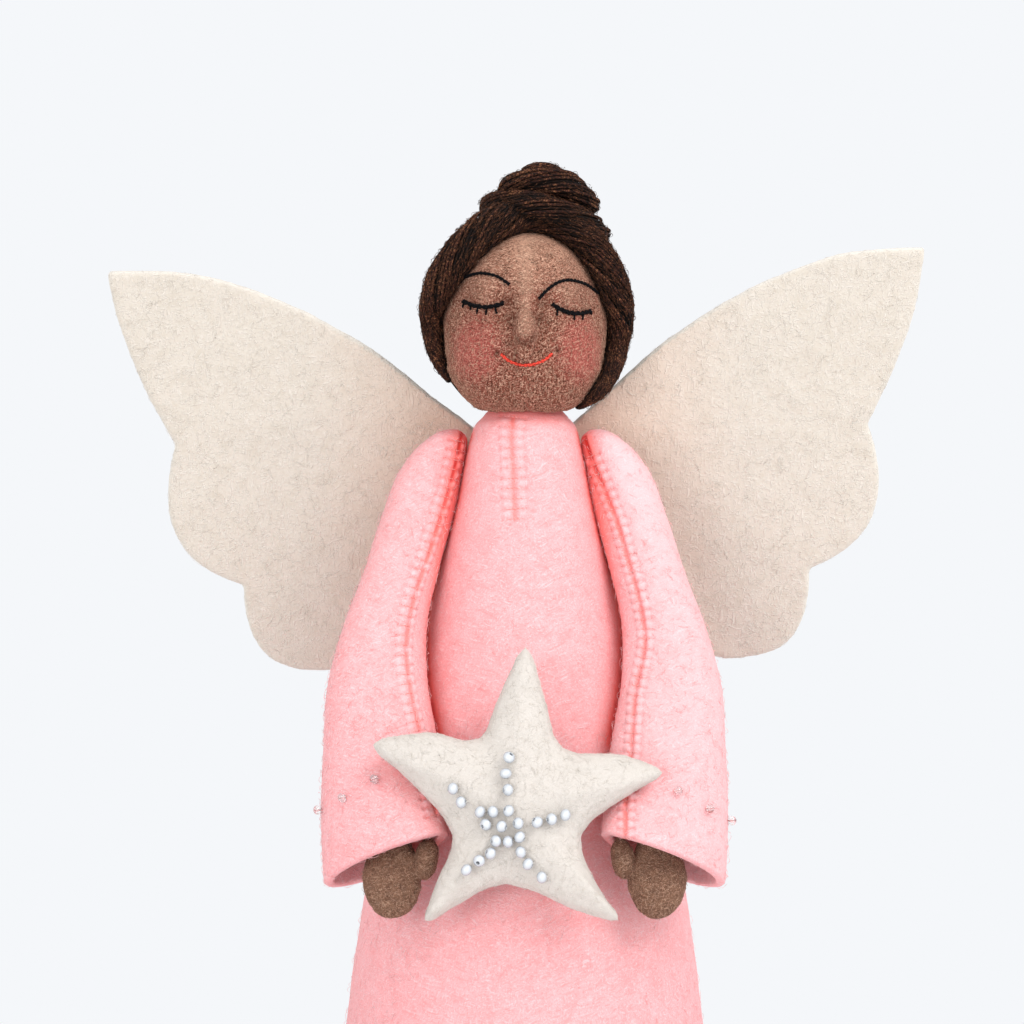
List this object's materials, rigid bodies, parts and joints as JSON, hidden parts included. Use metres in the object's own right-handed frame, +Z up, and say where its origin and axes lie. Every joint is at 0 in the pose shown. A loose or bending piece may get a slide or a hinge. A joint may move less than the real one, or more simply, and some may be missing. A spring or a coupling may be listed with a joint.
{
  "type": "christmas tree topper",
  "caption": "Felt angel with a hollow cone dress, folding wings, bell sleeves and a beaded star, for a tree top.",
  "frame": {"origin": "centre of the skirt's hem circle, on the surface that it stands on, where the tip of the tree enters", "axes": "+Z up the middle of the dress, the face and the star look along -Y, +X is to the right in the front view"},
  "size_m": [0.2215, 0.115, 0.2725],
  "materials": {
    "pink_felt": "thick wool felt, fuzzy and matt",
    "cream_felt": "thick wool felt, fuzzy and matt",
    "skin_wool": "needle-felted wool, heathered brown",
    "white_wool": "needle-felted wool, natural white",
    "hair_yarn": "twisted wool yarn, dark brown",
    "stuffing_wool": "carded wool",
    "card": "plain card",
    "chenille_wire": "twisted wire in short pile",
    "pearl_bead": "pearl white glass",
    "clear_bead": "clear glass"
  },
  "bodies": {
    "root": {"dress_shell": "pink_felt", "cone_liner": "card", "neck_stuffing": "stuffing_wool", "head": "skin_wool", "hair_back": "hair_yarn", "hair_left": "hair_yarn", "hair_right": "hair_yarn", "bun_core": "hair_yarn", "bun_coil": "hair_yarn"},
    "arms": {"left_sleeve": "pink_felt", "right_sleeve": "pink_felt", "left_hand": "skin_wool", "right_hand": "skin_wool", "left_arm_wire": "chenille_wire", "right_arm_wire": "chenille_wire", "star": "white_wool", "star_bead_01": "pearl_bead", "star_bead_02": "pearl_bead", "star_bead_03": "pearl_bead", "star_bead_04": "pearl_bead", "star_bead_05": "pearl_bead", "star_bead_06": "pearl_bead", "star_bead_07": "pearl_bead", "star_bead_08": "pearl_bead", "star_bead_09": "pearl_bead", "star_bead_10": "pearl_bead", "star_bead_11": "pearl_bead", "star_bead_12": "pearl_bead", "star_bead_13": "pearl_bead", "star_bead_14": "pearl_bead", "star_bead_15": "pearl_bead", "star_bead_16": "pearl_bead", "star_bead_17": "pearl_bead", "star_bead_18": "pearl_bead", "star_bead_19": "pearl_bead", "star_bead_20": "pearl_bead", "star_bead_21": "pearl_bead", "star_bead_22": "pearl_bead", "star_bead_23": "pearl_bead", "left_cuff_bead_1": "clear_bead", "left_cuff_bead_2": "clear_bead", "left_cuff_bead_3": "clear_bead", "left_cuff_bead_4": "clear_bead", "left_cuff_bead_5": "clear_bead", "right_cuff_bead_1": "clear_bead", "right_cuff_bead_2": "clear_bead", "right_cuff_bead_3": "clear_bead", "right_cuff_bead_4": "clear_bead", "right_cuff_bead_5": "clear_bead"},
    "left_wing": {"left_wing": "cream_felt"},
    "right_wing": {"right_wing": "cream_felt"}
  },
  "joints": [
    {"name": "arms_lift", "type": "hinge", "parent": "root", "child": "arms", "pos_m": [0, 0, 0.19], "axis": [-1, 0, 0], "range_deg": [0, 25]},
    {"name": "left_wing_fold", "type": "hinge", "parent": "root", "child": "left_wing", "pos_m": [-0.0028, 0.02173, 0.17], "axis": [0, 0.2368, -0.9715], "range_deg": [0, 50], "stiffness_Nm_per_rad": 0.01},
    {"name": "right_wing_fold", "type": "hinge", "parent": "root", "child": "right_wing", "pos_m": [0.0028, 0.02173, 0.17], "axis": [0, -0.2368, 0.9715], "range_deg": [0, 50], "stiffness_Nm_per_rad": 0.01}
  ]
}
